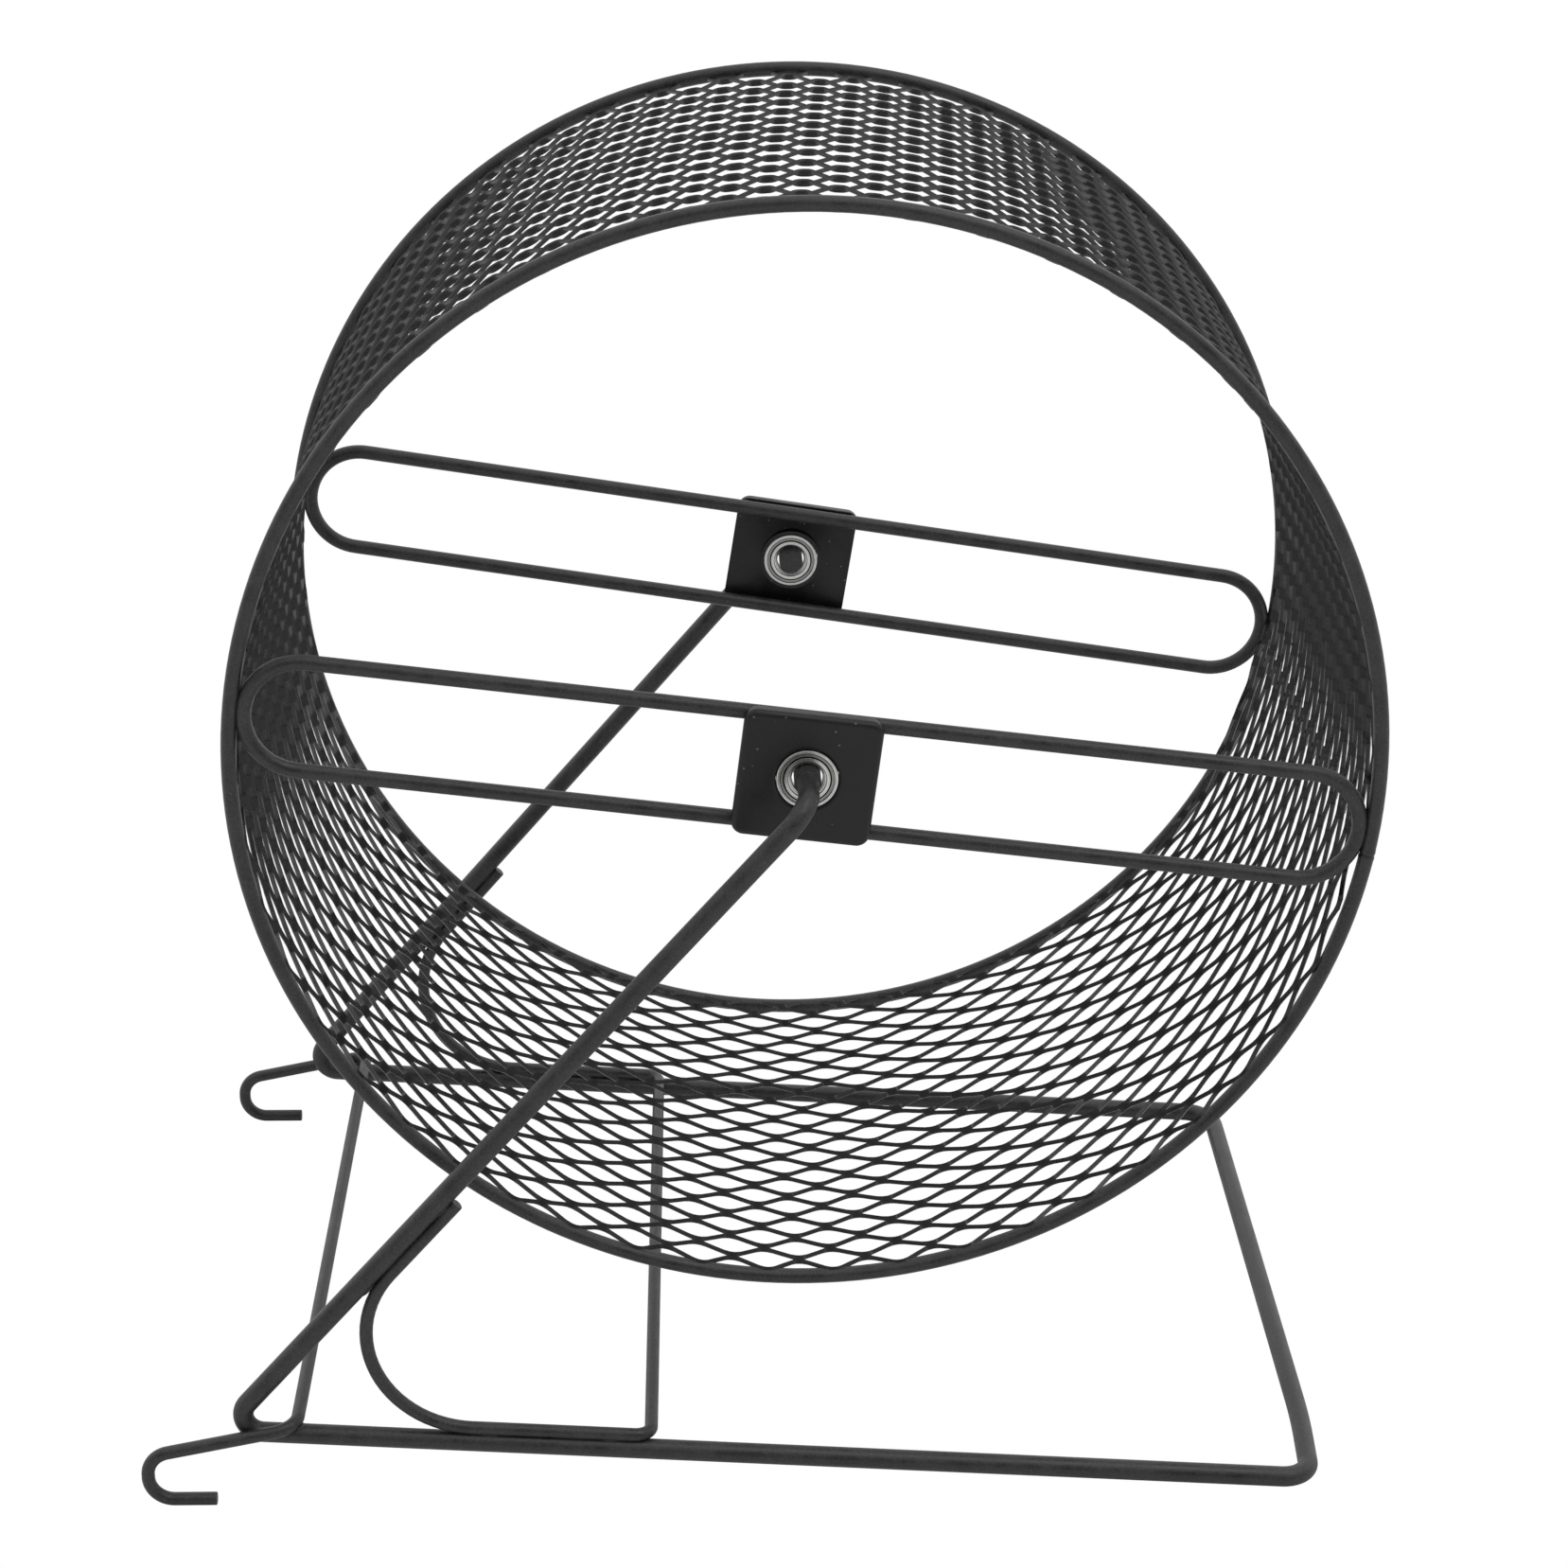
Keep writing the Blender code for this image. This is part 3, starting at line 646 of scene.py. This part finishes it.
def on_drum(place):
    """The rolled place of a point given by its distance along the strip, across it, and its radius."""
    angle = first_angle + (place.x + column_skew * place.y) / mesh_radius
    return (place.z * math.cos(angle), place.y, place.z * math.sin(angle))


def running_mesh():
    """Strands side by side, with the points of their shared edge in common along each bond."""
    points = []
    faces = []
    corners = {}
    shared_corners = {0: 1, 3: 2}
    last = half_pitches * half_steps
    for strand in range(strand_count):
        edges = [strand_edges(strand, number) for number in range(last + 1)]
        bonds = [bond_side(strand, number) for number in range(last + 1)]
        for number, (plus, minus) in enumerate(edges):
            before = edges[max(number - 1, 0)]
            after = edges[min(number + 1, last)]
            ahead = (after[0] + after[1] - before[0] - before[1]).normalized()
            if bonds[number]:
                ahead = Vector((1, 0, 0))
            wide = plus - minus
            thick = ahead.cross(wide - ahead * wide.dot(ahead)).normalized() * strand_thickness / 2
            shares_edge = bonds[number] < 0 and strand > 0
            for corner, place in enumerate((minus - thick, plus - thick, plus + thick, minus + thick)):
                if shares_edge and corner in shared_corners:
                    corners[strand, number, corner] = corners[strand - 1, number, shared_corners[corner]]
                    continue
                corners[strand, number, corner] = len(points)
                points.append(on_drum(place))
        for number in range(last):
            inside_bond = bonds[number] == bonds[number + 1]
            for corner in range(4):
                beside = (corner + 1) % 4
                if inside_bond and corner == 1 and bonds[number] > 0 and strand < strand_count - 1:
                    continue
                if inside_bond and corner == 3 and bonds[number] < 0 and strand > 0:
                    continue
                faces.append((corners[strand, number, corner], corners[strand, number, beside],
                              corners[strand, number + 1, beside], corners[strand, number + 1, corner]))
        for number, order in ((0, (3, 2, 1, 0)), (last, (0, 1, 2, 3))):
            faces.append(tuple(corners[strand, number, corner] for corner in order))
    return points, faces


add_piece("expanded_mesh_band", *running_mesh(), mesh_coat, "wheel", "mesh_coat", ["running_mesh"],
          place=hub + Vector((0, 0, mesh_lift)), crease=50)


# Crossbars
# One closed loop of the ring's steel wire across each ring, a little out of level, with its round
# ends welded to the ring's inside. It has the same coat.

bar_spacing = 0.0296
bar_reach = 0.1466
bar_tilts = {"front": math.radians(6.9), "back": math.radians(8.7)}


def loop_rows():
    """Rows along one crossbar as it lies level, round one end and then round the other."""
    half = bar_spacing / 2
    turn_x = bar_reach - wheel_wire_radius - half
    rows = []
    steps = 36
    for end in (1, -1):
        for step in range(steps + 1):
            angle = math.pi * (step / steps - 0.5)
            outward = Vector((math.cos(angle), 0, math.sin(angle))) * end
            way = Vector((-math.sin(angle), 0, math.cos(angle))) * end
            rows.append((Vector((end * turn_x, 0, 0)) + outward * half, way, wheel_wire_radius))
    return rows


for side, label in front_and_back:
    bar_turn = Matrix.Rotation(bar_tilts[label], 3, "Y")
    bar_rows = [(bar_turn @ point, bar_turn @ way, radius) for point, way, radius in loop_rows()]
    add_piece(label + "_bar_loop", *wire_tube(bar_rows, wheel_wire_sides, closed=True), wire_coat, "wheel",
              "wire_coat", [label + "_crossbar"], place=hub + Vector((0, side * ring_y, 0)))


# Hub plates
# Pressed steel squares with two lips folded back on to the loop's wires, where they are welded,
# and a collar drawn in for the bearing. The coat is smoother here than on the wires.

plate_coat = powder_coat("plate_powder_coat", (0.006, 0.006, 0.0061), (0.013, 0.013, 0.0131),
                         grain_scale=1500, smoothest=0.34, roughest=0.46, speck_size=0.09,
                         relief=0.00004, ior=1.4)
plate_face_y = 0.09055
plate_width = 0.036
plate_height = 0.0346
plate_sheet = 0.0016
plate_corner = 0.0034
plate_edge_round = 0.0016
face_margin = 0.0003
lip_depth = 0.0039
lip_edge = 0.00018
lip_clearance = 0.0001
seat_radius = 0.00812
seat_margin = 0.0004
draw_round = 0.0008
collar_depth = 0.0044
collar_sheet = 0.0009
collar_foot_reach = 0.0014
collar_foot_rise = 0.0004


def plate_outline(inset):
    """Rounded rectangle of the plate, each point with the share of the folded lip that it has."""
    outline = []
    corner_steps = 8
    side_steps = 10
    corner = plate_corner - inset
    reach_x = plate_width / 2 - plate_corner
    reach_z = plate_height / 2 - plate_corner
    quarters = ((1, 1), (-1, 1), (-1, -1), (1, -1))
    for turn, (right, up) in enumerate(quarters):
        for step in range(corner_steps + 1):
            share = step / corner_steps
            angle = math.pi / 2 * (turn + share)
            lip = share if turn % 2 == 0 else 1 - share
            outline.append((right * reach_x + corner * math.cos(angle),
                            up * reach_z + corner * math.sin(angle), lip))
        end_x, end_z, lip = outline[-1]
        next_right, next_up = quarters[(turn + 1) % 4]
        next_x = next_right * reach_x + corner * math.cos(angle)
        next_z = next_up * reach_z + corner * math.sin(angle)
        for step in range(1, side_steps):
            share = step / side_steps
            outline.append((end_x + (next_x - end_x) * share, end_z + (next_z - end_z) * share, lip))
    return outline


def hub_plate(side):
    """Rows from the collar's inside over the face and the lips to the back and the collar's outside."""
    spread = plate_outline(0)
    angles = [math.atan2(z, x) for x, z, _ in spread]

    def circle(radius, depth):
        return [(radius * math.cos(angle), -side * depth, radius * math.sin(angle)) for angle in angles]

    def border(inset, depth_at):
        return [(x, -side * depth_at(lip), z) for x, z, lip in plate_outline(inset)]

    def lip_end(lip):
        return plate_sheet + (lip_depth - plate_sheet) * eased(lip)

    rows = [circle(seat_radius, collar_depth), circle(seat_radius, draw_round)]
    draw_steps = 4
    for step in range(1, draw_steps + 1):
        angle = math.pi / 2 * step / draw_steps
        rows.append(circle(seat_radius + draw_round * (1 - math.cos(angle)),
                           draw_round * (1 - math.sin(angle))))
    rows.append(circle(seat_radius + draw_round + seat_margin, 0))
    rows.append(border(plate_edge_round + face_margin, lambda lip: 0))
    fold_steps = 6
    for step in range(fold_steps + 1):
        angle = math.pi / 2 * step / fold_steps
        inset = plate_edge_round * (1 - math.sin(angle))
        depth = plate_edge_round * (1 - math.cos(angle))
        rows.append(border(inset, lambda lip: depth))
    rows.append(border(0, lambda lip: lip_end(lip) - lip_edge))
    rows.append(border(lip_edge, lip_end))
    rows.append(border(plate_sheet - lip_edge, lip_end))
    rows.append(border(plate_sheet, lambda lip: max(lip_end(lip) - lip_edge, plate_sheet)))
    rows.append(border(plate_sheet + lip_clearance, lambda lip: plate_sheet))
    rows.append(circle(seat_radius + collar_foot_reach, plate_sheet))
    rows.append(circle(seat_radius + collar_sheet, plate_sheet + collar_foot_rise))
    rows.append(circle(seat_radius + collar_sheet, collar_depth))
    count = len(spread)
    points = [point for row in rows for point in row]
    faces = []
    for row in range(len(rows)):
        here = row * count
        there = (row + 1) % len(rows) * count
        for number in range(count):
            beside = (number + 1) % count
            face = (here + number, here + beside, there + beside, there + number)
            faces.append(face if side > 0 else face[::-1])
    return points, faces


for side, label in front_and_back:
    plate_turn = Matrix.Rotation(bar_tilts[label], 3, "Y")
    plate_points, plate_faces = hub_plate(side)
    plate_points = [plate_turn @ Vector(point) for point in plate_points]
    add_piece(label + "_pressed_plate", plate_points, plate_faces, plate_coat, "wheel", "plate_coat",
              [label + "_hub_plate"], place=hub + Vector((0, side * plate_face_y, 0)))


# Ball bearings
# Shielded bearings pressed into the hub plates: ground steel races, two pressed shields held in the
# outer race, and nine balls in a crown cage that only show where a shield leaves a gap.

smear_scale = 700
smear_shade = 0.72
ring_smoothest = 0.7
ring_roughest = 1.4
# Colour of the painted shade laid into the shield's grooves, where the recesses fall in shadow.
painted_groove_shade = (0.015, 0.014, 0.012, 1)


def turned_steel(name, colour, roughness, lathe_scale, grooves=()):
    """Bare steel with the fine rings that grinding or pressing leaves.

    Painted shade darkens its grooves, each given by its radius and half its width.
    """
    material = bpy.data.materials.new(name)
    material.use_nodes = True
    nodes = material.node_tree.nodes
    links = material.node_tree.links
    shader = nodes["Principled BSDF"]
    shader.inputs["Metallic"].default_value = 1
    place = nodes.new("ShaderNodeTexCoord")
    split = nodes.new("ShaderNodeSeparateXYZ")
    links.new(place.outputs["Object"], split.inputs["Vector"])
    total = nodes.new("ShaderNodeMath")
    total.operation = "ADD"
    for socket, axis in enumerate(("X", "Z")):
        square = nodes.new("ShaderNodeMath")
        square.operation = "MULTIPLY"
        links.new(split.outputs[axis], square.inputs[0])
        links.new(split.outputs[axis], square.inputs[1])
        links.new(square.outputs["Value"], total.inputs[socket])
    radius = nodes.new("ShaderNodeMath")
    radius.operation = "SQRT"
    links.new(total.outputs["Value"], radius.inputs[0])
    rings = nodes.new("ShaderNodeTexNoise")
    rings.noise_dimensions = "1D"
    rings.inputs["Scale"].default_value = lathe_scale
    rings.inputs["Detail"].default_value = 2
    links.new(radius.outputs["Value"], rings.inputs["W"])
    smears = nodes.new("ShaderNodeTexNoise")
    smears.inputs["Scale"].default_value = smear_scale
    links.new(place.outputs["Object"], smears.inputs["Vector"])
    tint = nodes.new("ShaderNodeMix")
    tint.data_type = "RGBA"
    tint.inputs["A"].default_value = (*[part * smear_shade for part in colour], 1)
    tint.inputs["B"].default_value = (*colour, 1)
    links.new(smears.outputs["Fac"], tint.inputs["Factor"])
    surface = tint.outputs["Result"]
    # Painted shade: each groove is mixed towards a near-black colour, as if it lay in shadow.
    for groove_radius, groove_half in grooves:
        groove = nodes.new("ShaderNodeMath")
        groove.operation = "COMPARE"
        groove.inputs[1].default_value = groove_radius
        groove.inputs[2].default_value = groove_half
        links.new(radius.outputs["Value"], groove.inputs[0])
        groove_shaded = nodes.new("ShaderNodeMix")
        groove_shaded.data_type = "RGBA"
        groove_shaded.inputs["B"].default_value = painted_groove_shade
        links.new(groove.outputs["Value"], groove_shaded.inputs["Factor"])
        links.new(surface, groove_shaded.inputs["A"])
        surface = groove_shaded.outputs["Result"]
    links.new(surface, shader.inputs["Base Color"])
    rough = nodes.new("ShaderNodeMapRange")
    rough.inputs["To Min"].default_value = roughness * ring_smoothest
    rough.inputs["To Max"].default_value = roughness * ring_roughest
    links.new(rings.outputs["Fac"], rough.inputs["Value"])
    links.new(rough.outputs["Result"], shader.inputs["Roughness"])
    bump = nodes.new("ShaderNodeBump")
    bump.inputs["Strength"].default_value = 0.35
    bump.inputs["Distance"].default_value = 0.00001
    links.new(rings.outputs["Fac"], bump.inputs["Height"])
    links.new(bump.outputs["Normal"], shader.inputs["Normal"])
    return material


race_steel = turned_steel("ground_race_steel", (0.70, 0.70, 0.68), roughness=0.24, lathe_scale=4000)
shield_steel = turned_steel("pressed_shield_steel", (0.36, 0.36, 0.35), roughness=0.30, lathe_scale=2500,
                            grooves=[(0.00613, 0.00020), (0.00705, 0.00014)])
bearing_middle_y = 0.08805
bearing_crease = 25
ring_steps = 96


def turned_ring(outline):
    """Ring turned about the Y axis from a closed outline of (radius, place along the axis)."""
    points = []
    for step in range(ring_steps):
        angle = 2 * math.pi * step / ring_steps
        for radius, along in outline:
            points.append((radius * math.cos(angle), along, radius * math.sin(angle)))
    count = len(outline)
    faces = []
    for step in range(ring_steps):
        here = step * count
        there = (step + 1) % ring_steps * count
        for number in range(count):
            beside = (number + 1) % count
            faces.append((here + number, here + beside, there + beside, there + number))
    return points, faces


def both_sides(half_outline):
    """Closed outline from its half at positive places along the axis, mirrored to the other side."""
    return half_outline + [(radius, -along) for radius, along in reversed(half_outline)]


outer_race_outline = both_sides([
    (0.0068, 0.0004), (0.0067, 0.0012), (0.0067, 0.0019), (0.00712, 0.0019), (0.00712, 0.00238),
    (0.00718, 0.0025), (0.00740, 0.0025), (0.00745, 0.00242), (0.00750, 0.0025), (0.00772, 0.0025),
    (0.00790, 0.00240), (0.0080, 0.0022)])
inner_race_outline = both_sides([
    (0.0052, 0.0004), (0.0053, 0.0012), (0.0053, 0.00226), (0.0059, 0.00230), (0.00594, 0.00240),
    (0.00588, 0.0025), (0.00564, 0.0025), (0.00560, 0.00243), (0.00556, 0.0025), (0.00508, 0.0025),
    (0.00500, 0.00240), (0.00490, 0.00216), (0.00454, 0.00210), (0.00446, 0.00188), (0.00418, 0.00182),
    (0.0040, 0.0012)])
shield_outline = [
    (0.00705, 0.0020), (0.00705, 0.00225), (0.00695, 0.0023), (0.00668, 0.0023), (0.00662, 0.00222),
    (0.00656, 0.0023), (0.0062, 0.0023), (0.00605, 0.00222), (0.0060, 0.00212), (0.0056, 0.00208),
    (0.00548, 0.0020), (0.00548, 0.0017), (0.0056, 0.0017), (0.0058, 0.0018), (0.0062, 0.0020)]

for side, label in front_and_back:
    middle = hub + Vector((0, side * bearing_middle_y, 0))
    add_piece(label + "_outer_race_ring", *turned_ring(outer_race_outline), race_steel, "wheel",
              "bearing_steel", [label + "_outer_race"], place=middle, crease=bearing_crease)
    add_piece(label + "_inner_race_ring", *turned_ring(inner_race_outline), race_steel, "stand",
              "bearing_steel", [label + "_inner_race"], place=middle, crease=bearing_crease)
    for place_label, way in (("outer", side), ("inner", -side)):
        outline = [(radius, way * along) for radius, along in shield_outline]
        add_piece(f"{label}_{place_label}_shield_disc", *turned_ring(outline), shield_steel, "wheel",
                  "shield_steel", [f"{label}_{place_label}_shield"], place=middle, crease=bearing_crease)
    for node_name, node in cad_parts.items():
        if node_name.startswith(label + "_ball"):
            node.material_slots[0].material = shield_steel if node_name.endswith("cage") else race_steel
